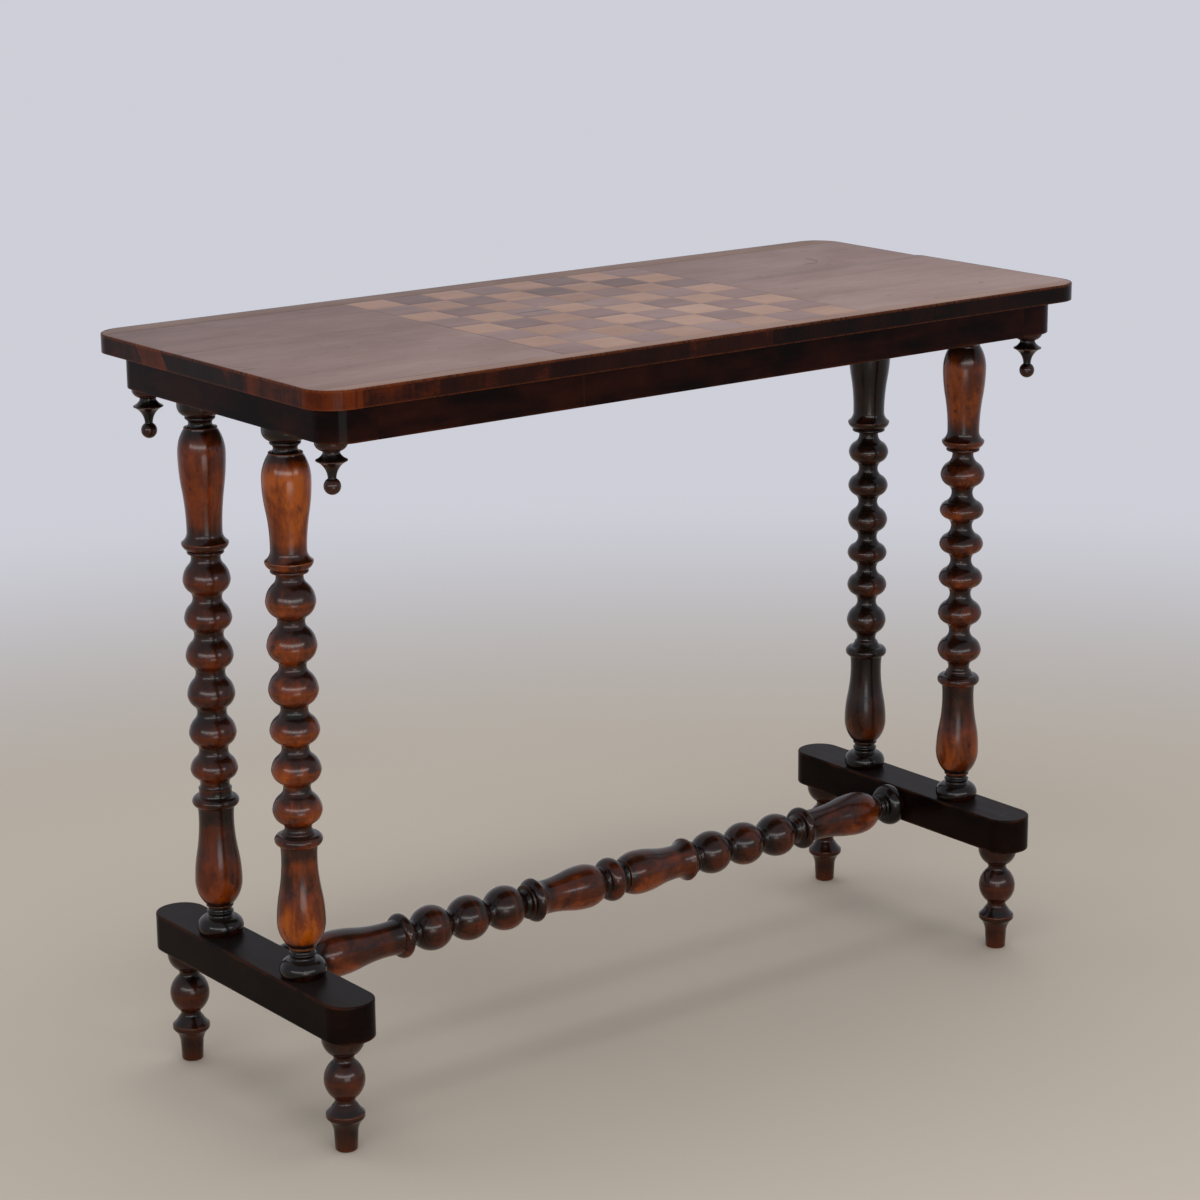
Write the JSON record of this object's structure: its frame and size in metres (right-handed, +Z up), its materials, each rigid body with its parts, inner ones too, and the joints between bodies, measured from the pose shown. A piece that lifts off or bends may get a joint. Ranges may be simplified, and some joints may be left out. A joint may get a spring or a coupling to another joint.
{
  "type": "chess table",
  "caption": "Side table with an inlaid chessboard top, an apron with drop finials, and bobbin-turned trestle ends that stand on foot bars joined by a turned stretcher.",
  "frame": {"origin": "on the floor, below the middle of the top", "axes": "+X along the top's length, +Y from the front edge to the rear edge, +Z up"},
  "size_m": [0.918, 0.404, 0.724],
  "materials": {
    "top_core": "plain sawn boards, seen only from below",
    "field_veneer": "faded grey-brown veneer, satin and a little worn",
    "strip_veneer": "pale tan veneer, satin",
    "edge_veneer": "cross-grain red-brown veneer, polished",
    "light_square": "tan to orange veneer, satin",
    "dark_square": "brown-grey veneer, satin",
    "apron": "very dark brown, polished",
    "glue_block": "bare sawn softwood",
    "leg": "amber to red-brown polish, near black in the hollows",
    "foot_bar": "near black polish, dusty on top",
    "foot": "dark red-brown polish, worn pegs",
    "stretcher": "red-brown polish, near black in the hollows",
    "finial": "very dark brown polish",
    "screw": "dull steel"
  },
  "bodies": {
    "root": {"top_board_front": "top_core", "top_board_rear": "top_core", "field_veneer_left_front": "field_veneer", "field_veneer_left_rear": "field_veneer", "field_veneer_right_front": "field_veneer", "field_veneer_right_rear": "field_veneer", "strip_veneer_front": "strip_veneer", "strip_veneer_rear": "strip_veneer", "edge_veneer_front": "edge_veneer", "edge_veneer_rear": "edge_veneer", "edge_veneer_left": "edge_veneer", "edge_veneer_right": "edge_veneer", "light_squares": "light_square", "dark_squares": "dark_square", "bearer_left": "apron", "bearer_right": "apron", "apron_rail_front": "apron", "apron_rail_rear": "apron", "glue_blocks_front": "glue_block", "glue_blocks_rear": "glue_block", "leg_front_left": "leg", "leg_front_right": "leg", "leg_rear_left": "leg", "leg_rear_right": "leg", "foot_bar_left": "foot_bar", "foot_bar_right": "foot_bar", "foot_front_left": "foot", "foot_front_right": "foot", "foot_rear_left": "foot", "foot_rear_right": "foot", "stretcher": "stretcher", "drop_finial_front_left": "finial", "drop_finial_front_right": "finial", "drop_finial_rear_left": "finial", "drop_finial_rear_right": "finial", "top_screws": "screw"}
  },
  "joints": []
}
